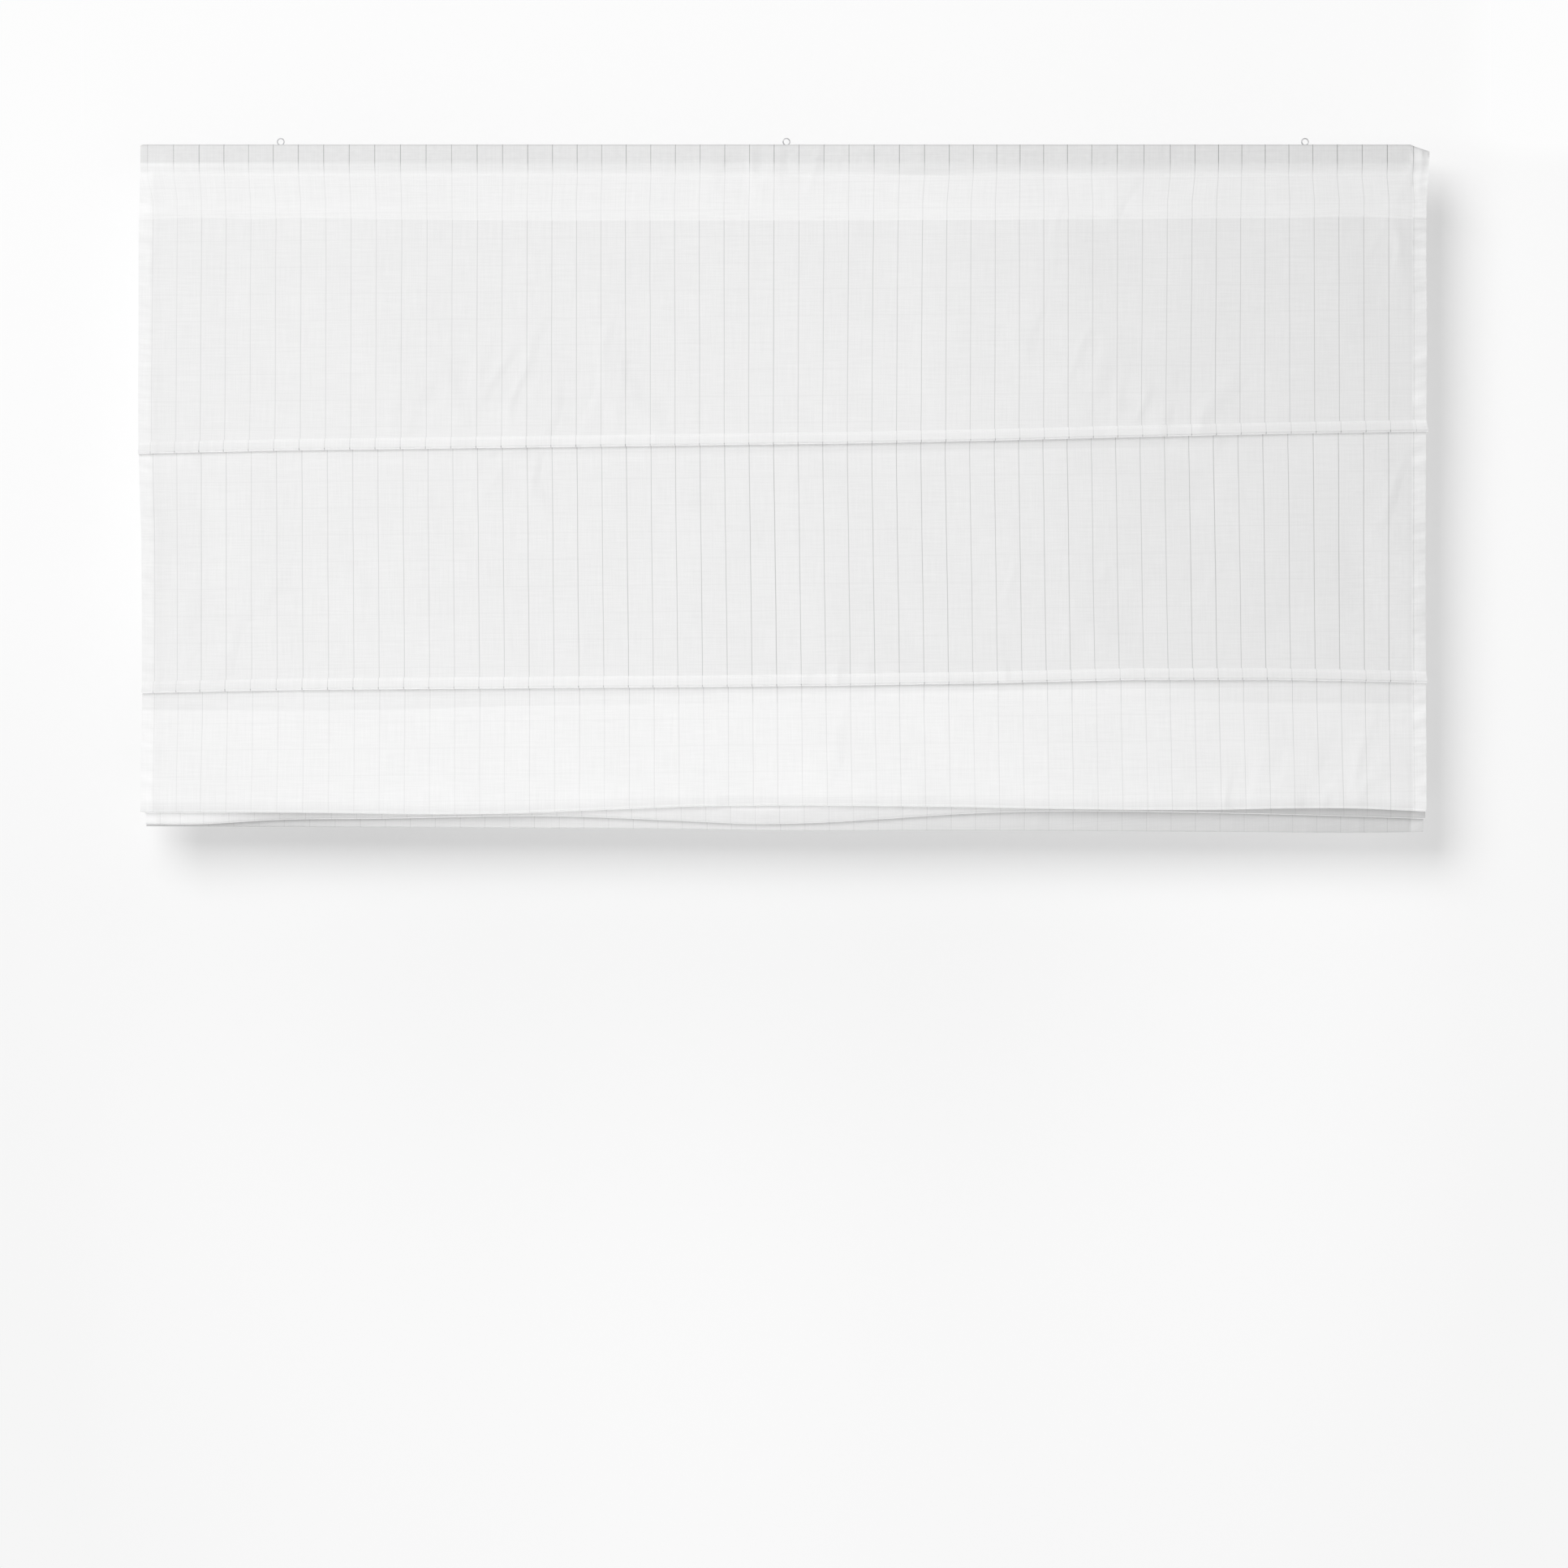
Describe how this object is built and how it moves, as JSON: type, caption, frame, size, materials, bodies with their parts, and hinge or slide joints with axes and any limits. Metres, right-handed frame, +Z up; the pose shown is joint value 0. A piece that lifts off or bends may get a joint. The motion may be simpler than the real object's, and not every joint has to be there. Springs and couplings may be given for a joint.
{
  "type": "roman blind",
  "caption": "Half-raised roman blind: a striped semi-sheer cotton sheet on a wooden head batten with hanging eyes, rods in sewn tucks, gathered lower folds and a weighted bottom hem.",
  "frame": {"origin": "centre of the hole of the middle hanging eye", "axes": "+X along the batten to the viewer's right, +Y from the room towards the wall, +Z up"},
  "size_m": [1.6, 0.0277, 0.8642],
  "materials": {
    "cotton": "matte, open weave with drawn-thread lines",
    "pine": "planed, unvarnished",
    "galvanised_steel": "galvanised",
    "zinc_wire": "bright zinc plating",
    "fibreglass": "satin",
    "ring_plastic": "gloss"
  },
  "bodies": {
    "root": {"cloth": "cotton", "head_batten": "pine", "bottom_bar": "galvanised_steel", "hanging_eye_left": "zinc_wire", "hanging_eye_middle": "zinc_wire", "hanging_eye_right": "zinc_wire", "tuck_rod_1": "fibreglass", "tuck_rod_2": "fibreglass", "tuck_rod_3": "fibreglass", "tuck_rod_4": "fibreglass", "lift_ring_1_left": "ring_plastic", "lift_ring_1_middle": "ring_plastic", "lift_ring_1_right": "ring_plastic", "lift_ring_2_left": "ring_plastic", "lift_ring_2_middle": "ring_plastic", "lift_ring_2_right": "ring_plastic", "lift_ring_3_left": "ring_plastic", "lift_ring_3_middle": "ring_plastic", "lift_ring_3_right": "ring_plastic", "lift_ring_4_left": "ring_plastic", "lift_ring_4_middle": "ring_plastic", "lift_ring_4_right": "ring_plastic"}
  },
  "joints": []
}
